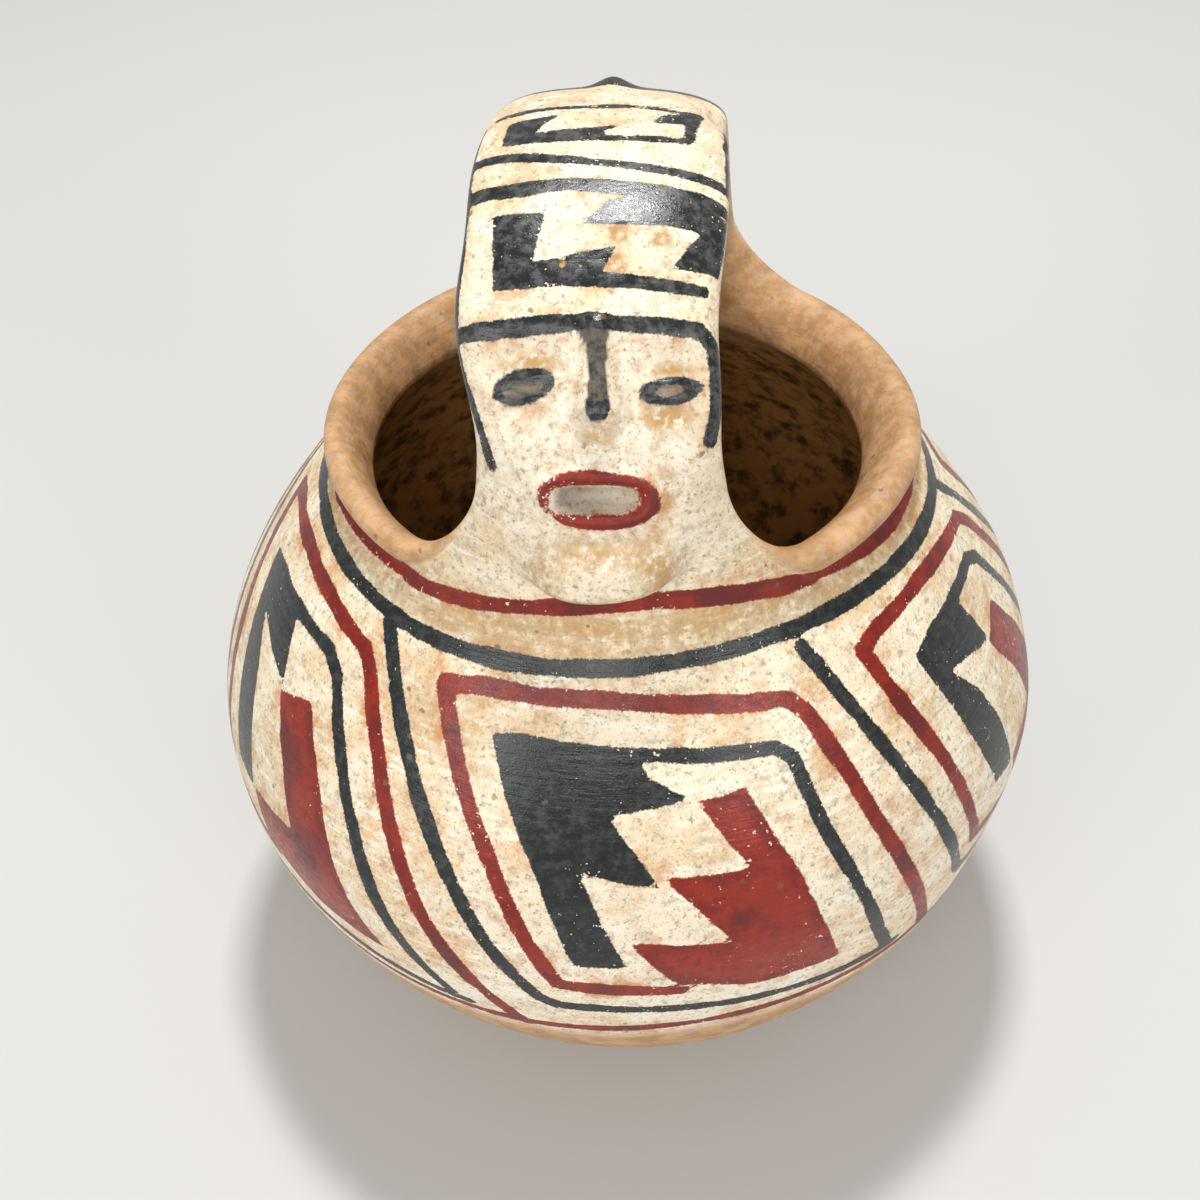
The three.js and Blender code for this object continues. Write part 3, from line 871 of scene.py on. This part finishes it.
strap_red = np.maximum(strap_red, np.where(on_face, neck_ring(strap), FAR))
strap_inside = UNDERSIDE_BROWN * (strap_slip < 0.0)
flake_edge = flake_gap(girth_grid, along_grid)
strap_black = np.minimum(strap_black, flake_edge)
strap_dirt_and_shade = strap_stain_and_shade(paint_girth, along_grid, across_grid)
strap_dirt_and_shade += FOOT_DIRT * swell(strap[:, :, 2], FOOT_DIRT_Z, FOOT_DIRT_REACH)
strap_dirt_and_shade += FLAKE_DIRT * swell(flake_edge, 0.0, FLAKE_DIRT_REACH)
strap_dirt_and_shade *= on_face
strap_grey_and_shade = strap_grey_paint_and_shade(paint_girth, along_grid) * on_face
strap_chalk = domes(paint_girth, along_grid, FACE_CHALK) * on_face
bowl_dirt = NECK_DIRT * swell(run_grid, NECK_DIRT_RUN, NECK_DIRT_REACH)
bowl_dirt += domes(from_front, run_grid, PANEL_DIRT)
bowl_none = np.zeros(run_grid.shape)


def eased(count):
    """Shares from 0 to 1 with level ends: 3 t squared less 2 t cubed."""
    t = np.linspace(0.0, 1.0, count, endpoint=False)[:, None]
    return 3 * t ** 2 - 2 * t ** 3


def fade_to_rim(values, bowl_values):
    """Strap values that turn into the bowl's own along the rims of the two feet."""
    share = eased(JOIN_ROWS)
    values[:JOIN_ROWS] = (1 - share) * bowl_values[front_rows, front_columns] + share * values[:JOIN_ROWS]
    share = share[::-1]
    values[-JOIN_ROWS:] = (1 - share) * bowl_values[back_rows, back_columns] + share * values[-JOIN_ROWS:]
    return values


strap_slip = fade_to_rim(strap_slip, bowl_slip)
strap_inside = fade_to_rim(strap_inside, bowl_inside_brown_and_shade)

# The mesh: both grids sewn into one closed skin
bowl_index = np.arange(ROWS * COLUMNS).reshape(ROWS, COLUMNS)
bowl_index[0] = bowl_index[0, 0]
bowl_index[-1] = bowl_index[-1, 0]
strap_index = ROWS * COLUMNS + np.arange(STRAP_ROWS * SECTION_POINTS).reshape(STRAP_ROWS, SECTION_POINTS)
strap_index[0] = bowl_index[front_rows, front_columns]
strap_index[-1] = bowl_index[back_rows, back_columns]


def squares(index):
    """Corner numbers of every square of a grid whose columns close round."""
    after = np.roll(index, -1, axis=1)
    return np.stack([index[:-1], after[:-1], after[1:], index[1:]], axis=2)


bowl_squares = squares(bowl_index)
past_foot = (np.arange(COLUMNS) + FOOT_COLUMNS) % (COLUMNS // 2)
in_foot = np.zeros(bowl_squares.shape[:2], bool)
in_foot[FOOT_ROW_OUTSIDE:FOOT_ROW_INSIDE, :] = (past_foot < 2 * FOOT_COLUMNS)[None, :]
corners = np.vstack([bowl_squares[~in_foot], squares(strap_index).reshape(-1, 4)])
used, corners = np.unique(corners, return_inverse=True)
corners = corners.reshape(-1, 4)
faces = [tuple(dict.fromkeys(face)) for face in corners.tolist()]
points = np.vstack([bowl.reshape(-1, 3), strap.reshape(-1, 3)])[used] * MM
mesh = bpy.data.meshes.new("effigy_bowl_clay")
mesh.from_pydata(points, [], faces)
mesh.polygons.foreach_set("use_smooth", np.ones(len(faces), bool))
for name, on_bowl, on_strap in (("black_edge", bowl_black, strap_black), ("red_edge", bowl_red, strap_red),
                                ("slip_edge", bowl_slip, strap_slip), ("inward", bowl_inside_brown_and_shade, strap_inside),
                                ("stain_and_shade", bowl_dirt, strap_dirt_and_shade), ("grey_paint_and_shade", bowl_none, strap_grey_and_shade),
                                ("chalk", bowl_none, strap_chalk)):
    values = np.concatenate([on_bowl.ravel(), on_strap.ravel()])[used].clip(FAR, -FAR)
    mesh.attributes.new(name, "FLOAT", "POINT").data.foreach_set("value", values.astype(np.float32))
mesh.update()
piece = bpy.data.objects.new("effigy_bowl_clay", mesh)
bpy.context.collection.objects.link(piece)

# The material: bare clay, cream slip over it, then red and black paint, all rubbed and worn
CLAY = (0.64, 0.38, 0.19, 1.0)
CLAY_DARK = (0.44, 0.24, 0.10, 1.0)
CLAY_GREY = (0.48, 0.37, 0.28, 1.0)
INSIDE = (0.46, 0.22, 0.06, 1.0)
SMOKE = (0.030, 0.016, 0.007, 1.0)
SLIP = (0.85, 0.74, 0.53, 1.0)
SLIP_WHITE = (0.90, 0.85, 0.72, 1.0)
SLIP_LOW = (0.86, 0.75, 0.60, 1.0)
SLIP_WARM = (0.73, 0.51, 0.27, 1.0)
SLIP_TAN = (0.62, 0.46, 0.28, 1.0)
SLIP_GREY = (0.47, 0.42, 0.32, 1.0)
STAIN_AND_SHADE = (0.48, 0.28, 0.10, 1.0)
GREY_PAINT_AND_SHADE = (0.030, 0.026, 0.022, 1.0)
GRAIN = (0.30, 0.21, 0.12, 1.0)
RUST = (0.58, 0.25, 0.07, 1.0)
RED = (0.17, 0.007, 0.003, 1.0)
RED_BRIGHT = (0.29, 0.020, 0.004, 1.0)
RED_EDGE = (0.36, 0.045, 0.012, 1.0)
MAROON = (0.10, 0.008, 0.007, 1.0)
BLACK = (0.012, 0.014, 0.015, 1.0)
BLACK_GREY = (0.050, 0.056, 0.058, 1.0)
BLACK_SCUFFED_AND_SHEEN = (0.14, 0.14, 0.135, 1.0)
PIT = (0.16, 0.10, 0.05, 1.0)
SLIP_LOW_Z = 55.0
SLIP_HIGH_Z = 105.0
SCUFFED_FROM_Z = 112.0
SCUFFED_TO_Z = 150.0
POLISHED_TO_Z = 135.0
PIT_CELLS = 0.45
PIT_SHARE = 0.22
PIT_LARGEST = 0.32
PIT_SLOPE = 0.10
PIT_RAGGED = 0.9
PIT_RAGGED_SCALE = 1.2
RELIEF_DEPTH = 0.16

clay = bpy.data.materials.new("painted_clay")
clay.use_nodes = True
tree = clay.node_tree
tree.nodes.clear()


def add(kind, inputs, **settings):
    """A shader node with its settings, each input linked to a socket or set to a constant."""
    made = tree.nodes.new(kind)
    for name, value in settings.items():
        setattr(made, name, value)
    for name, value in inputs.items():
        if isinstance(value, bpy.types.NodeSocket):
            tree.links.new(value, made.inputs[name])
        else:
            made.inputs[name].default_value = value
    return made


def noise(scale, detail=3.0, roughness=0.5, stretch=(1.0, 1.0, 1.0)):
    """Noise from 0 to 1, its scale in waves per millimetre, squeezed by stretch."""
    size = tuple(part * scale / MM for part in stretch)
    spread = add("ShaderNodeMapping", {"Vector": place.outputs["Object"], "Scale": size})
    made = add("ShaderNodeTexNoise", {"Vector": spread.outputs[0], "Scale": 1.0, "Detail": detail,
                                      "Roughness": roughness})
    return made.outputs["Fac"]


def between(value, low, high, start=0.0, end=1.0):
    """A smooth step of a value from start to end as it goes from low to high."""
    made = add("ShaderNodeMapRange", {"Value": value, "From Min": low, "From Max": high, "To Min": start,
                                      "To Max": end}, interpolation_type="SMOOTHSTEP")
    return made.outputs["Result"]


def sums(operation, first, second):
    """Two values put together by a maths node."""
    made = add("ShaderNodeMath", {0: first, 1: second}, operation=operation)
    return made.outputs[0]


def blend(share, first, second):
    """One colour over another by a share."""
    made = add("ShaderNodeMix", {0: share, 6: first, 7: second}, data_type="RGBA")
    return made.outputs[2]


def carried(name):
    """One of the values that the mesh carries at its points."""
    return add("ShaderNodeAttribute", {}, attribute_name=name).outputs["Fac"]


place = add("ShaderNodeTexCoord", {})
grain = noise(2.0, 3.0, 0.70)
specks = noise(1.1, 3.0, 0.60)
middling = noise(0.55, 4.0, 0.65)
patches = noise(0.20, 4.0, 0.65)
broad = noise(0.07, 3.0, 0.55)
streaks = noise(1.0, 3.0, 0.60, (0.10, 0.10, 1.0))

# Bare clay, smoked inside, and darkened inward from the lip partly by painted shade
bare = blend(between(patches, 0.36, 0.62), CLAY, CLAY_DARK)
bare = blend(between(streaks, 0.50, 0.66, 0.0, 0.5), bare, CLAY_DARK)
bare = blend(between(middling, 0.50, 0.66, 0.0, 0.6), bare, CLAY_GREY)
bare = blend(between(grain, 0.54, 0.72, 0.0, 0.5), bare, GRAIN)
inside_brown_and_shade = carried("inward")
bare = blend(inside_brown_and_shade, bare, INSIDE)
smoke_share = sums("MULTIPLY", inside_brown_and_shade, between(patches, 0.42, 0.66, 0.15, 0.9))
bare = blend(smoke_share, bare, SMOKE)

# Cream slip, streaked by the brush, grained with dirt, stained beside the paint.
# Painted shade darkens it under the chin, under the nose's tip and in the mouth.
hand = sums("MULTIPLY", broad, 1.4)
wobble = sums("SUBTRACT", sums("ADD", sums("ADD", hand, patches), sums("MULTIPLY", grain, 0.9)), 1.6)
black_edge = sums("ADD", carried("black_edge"), wobble)
red_edge = sums("ADD", carried("red_edge"), wobble)
slip_edge = sums("ADD", carried("slip_edge"), sums("MULTIPLY", wobble, 4.0))
height = add("ShaderNodeSeparateXYZ", {"Vector": place.outputs["Object"]}).outputs["Z"]
slip = blend(between(height, SLIP_LOW_Z * MM, SLIP_HIGH_Z * MM), SLIP_LOW, SLIP)
slip = blend(between(broad, 0.41, 0.62, 0.0, 0.8), slip, SLIP_WARM)
slip = blend(carried("chalk"), slip, SLIP_WHITE)
slip = blend(between(patches, 0.50, 0.68, 0.0, 0.7), slip, SLIP_TAN)
slip = blend(between(streaks, 0.48, 0.66, 0.0, 0.8), slip, SLIP_WHITE)
slip = blend(between(middling, 0.49, 0.67, 0.0, 0.7), slip, SLIP_GREY)
slip = blend(between(grain, 0.46, 0.34, 0.0, 0.6), slip, SLIP_WHITE)
slip = blend(between(grain, 0.55, 0.70, 0.0, 0.6), slip, GRAIN)
slip = blend(between(specks, 0.60, 0.67, 0.0, 0.6), slip, GRAIN)
near_paint = sums("MAXIMUM", sums("SUBTRACT", black_edge, 1.0), red_edge)
rusty = sums("MULTIPLY", between(patches, 0.40, 0.72), between(broad, 0.36, 0.58))
halo = sums("MULTIPLY", between(near_paint, -4.5, 0.3), rusty)
slip = blend(halo, slip, RUST)
# Tan dirt, with painted shade under the chin and under the nose's tip
stain_and_shade_on = sums("MULTIPLY", carried("stain_and_shade"), between(middling, 0.32, 0.52))
slip = blend(stain_and_shade_on, slip, STAIN_AND_SHADE)
# Grey paint on the eyes and nose, and painted shade in the mouth's hollow
grey_paint_and_shade_on = sums("MULTIPLY", carried("grey_paint_and_shade"), between(middling, 0.36, 0.62, 1.0, 0.86))
slip = blend(grey_paint_and_shade_on, slip, GREY_PAINT_AND_SHADE)
slip_on = sums("MULTIPLY", between(slip_edge, -3.0, 3.0), between(middling, 0.25, 0.34))
colour = blend(slip_on, bare, slip)

# Red and black paint, both thin enough to wear through in flecks
hold = sums("ADD", specks, sums("MULTIPLY", broad, 0.35))


def paint_share(paint_edge):
    """1 inside a paint's edge and 0 outside it, with flecks worn through, most of them near the edge."""
    worn = between(sums("ADD", hold, between(paint_edge, 0.0, 1.1, -0.05, 0.01)), 0.44, 0.47)
    return sums("MULTIPLY", between(paint_edge, -0.15, 0.15), worn)


red_on = paint_share(red_edge)
red = blend(between(patches, 0.38, 0.62, 0.0, 0.7), RED, RED_BRIGHT)
red = blend(between(red_edge, 1.4, 3.2, 0.0, 0.7), red, RED_BRIGHT)
red = blend(between(broad, 0.50, 0.62, 0.0, 0.8), red, MAROON)
red = blend(between(middling, 0.52, 0.70, 0.0, 0.6), red, MAROON)
red = blend(between(red_edge, 0.0, 0.35, 0.5, 0.0), red, RED_EDGE)
colour = blend(red_on, colour, red)
black_on = paint_share(black_edge)
black = blend(between(middling, 0.48, 0.74, 0.0, 0.45), BLACK, BLACK_GREY)
# The black greys towards the top: partly scuffing, partly painted sheen where the top catches the light
scuffed_and_sheen_high = between(height, SCUFFED_FROM_Z * MM, SCUFFED_TO_Z * MM, 0.1, 0.45)
scuffed_and_sheen = sums("MULTIPLY", between(middling, 0.40, 0.68), scuffed_and_sheen_high)
black = blend(scuffed_and_sheen, black, BLACK_SCUFFED_AND_SHEEN)
colour = blend(black_on, colour, black)

# Ragged pits in some of the cells of a random grid, their size drawn from each cell's own colour
shift = add("ShaderNodeTexNoise", {"Vector": place.outputs["Object"], "Scale": PIT_RAGGED_SCALE / MM,
                                   "Detail": 1.0})
shift = add("ShaderNodeVectorMath", {0: shift.outputs["Color"], "Scale": PIT_RAGGED * MM}, operation="SCALE")
ragged = add("ShaderNodeVectorMath", {0: place.outputs["Object"], 1: shift.outputs[0]}, operation="ADD")
cells = add("ShaderNodeTexVoronoi", {"Vector": ragged.outputs[0], "Scale": PIT_CELLS / MM})
drawn = add("ShaderNodeSeparateColor", {"Color": cells.outputs["Color"]}).outputs[0]
size = between(drawn, 1.0 - PIT_SHARE, 1.0, 0.0, PIT_LARGEST)
pits = between(sums("SUBTRACT", cells.outputs["Distance"], size), -PIT_SLOPE, 0.0, 1.0, 0.0)
pits = sums("MULTIPLY", pits, between(broad, 0.38, 0.58, 0.15, 0.75))
colour = blend(pits, colour, PIT)

# Sheen and fine relief of a burnished surface
gloss = between(middling, 0.3, 0.7, 0.44, 0.60)
polished_low = between(height, SCUFFED_FROM_Z * MM, POLISHED_TO_Z * MM, 0.20, 0.0)
polish = sums("MAXIMUM", sums("MULTIPLY", black_on, 0.25), sums("MULTIPLY", red_on, polished_low))
gloss = sums("SUBTRACT", gloss, polish)
depth = sums("ADD", sums("MULTIPLY", grain, 0.5), streaks)
bump = add("ShaderNodeBump", {"Height": depth, "Strength": 0.7, "Distance": RELIEF_DEPTH * MM})
skin = add("ShaderNodeBsdfPrincipled", {"Base Color": colour, "Roughness": gloss, "Specular IOR Level": 0.45,
                                        "Normal": bump.outputs[0]})
add("ShaderNodeOutputMaterial", {"Surface": skin.outputs[0]})
mesh.materials.append(clay)
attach(piece, "root")
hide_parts("effigy_bowl")

# The floor, light and camera
# A plain pale table top under soft lights from above, from the front and from both sides.
# The camera has the photograph's high front view.
FLOOR_HALF = 5.0
floor_mesh = bpy.data.meshes.new("floor")
floor_corners = [(x * FLOOR_HALF, y * FLOOR_HALF, 0.0) for x, y in ((-1, -1), (1, -1), (1, 1), (-1, 1))]
floor_mesh.from_pydata(floor_corners, [], [(0, 1, 2, 3)])
floor = bpy.data.objects.new("floor", floor_mesh)
bpy.context.collection.objects.link(floor)
pale = bpy.data.materials.new("pale_floor")
pale.use_nodes = True
pale_skin = pale.node_tree.nodes["Principled BSDF"]
pale_skin.inputs["Base Color"].default_value = (0.60, 0.60, 0.59, 1.0)
pale_skin.inputs["Roughness"].default_value = 0.8
floor_mesh.materials.append(pale)


def soft_light(name, position, size, power):
    """A square area light that faces the bowl's middle, its place and size in metres, its power in watts."""
    lamp = bpy.data.lights.new(name, "AREA")
    lamp.size = size
    lamp.energy = power
    holder = bpy.data.objects.new(name, lamp)
    holder.location = position
    towards = Vector((0.0, 0.0, BELLY_Z * MM)) - Vector(position)
    holder.rotation_euler = towards.to_track_quat("-Z", "Y").to_euler()
    bpy.context.collection.objects.link(holder)


soft_light("overhead", (0.0, 0.26, 1.25), 0.15, 10.5)
soft_light("left", (-1.55, -1.90, 1.00), 0.9, 17.5)
soft_light("right", (1.50, -1.90, 1.10), 0.9, 16.0)
soft_light("front", (-0.20, -2.10, 1.60), 0.8, 14.0)
world = bpy.data.worlds.new("studio")
world.use_nodes = True
world.node_tree.nodes["Background"].inputs["Color"].default_value = (1.0, 0.98, 0.95, 1.0)
world.node_tree.nodes["Background"].inputs["Strength"].default_value = 0.45
bpy.context.scene.world = world
bpy.context.scene.view_settings.view_transform = "Standard"

VIEW_TURN = math.radians(4.7)
VIEW_HEIGHT = math.radians(41.483)
VIEW_ROLL = math.radians(1.537)
VIEW_AIM = Vector((0.0, 0.0, 73.7))
VIEW_DISTANCE = 355.9
VIEW_ASIDE = -5.36
VIEW_ABOVE = 8.15
LENS = 51.0
SENSOR = 36.0
right = Vector((math.cos(VIEW_TURN), math.sin(VIEW_TURN), 0.0))
ahead = Vector((-math.sin(VIEW_TURN) * math.cos(VIEW_HEIGHT), math.cos(VIEW_TURN) * math.cos(VIEW_HEIGHT),
                -math.sin(VIEW_HEIGHT)))
upward = right.cross(ahead)
camera_right = math.cos(VIEW_ROLL) * right - math.sin(VIEW_ROLL) * upward
camera_up = math.sin(VIEW_ROLL) * right + math.cos(VIEW_ROLL) * upward
camera_place = VIEW_AIM - VIEW_DISTANCE * ahead + VIEW_ASIDE * camera_right + VIEW_ABOVE * camera_up
camera_turn = Matrix((camera_right, camera_up, -ahead)).transposed().to_4x4()
camera_data = bpy.data.cameras.new("camera")
camera_data.lens = LENS
camera_data.sensor_width = SENSOR
camera = bpy.data.objects.new("camera", camera_data)
camera.matrix_world = Matrix.Translation(camera_place * MM) @ camera_turn
bpy.context.collection.objects.link(camera)
bpy.context.scene.camera = camera
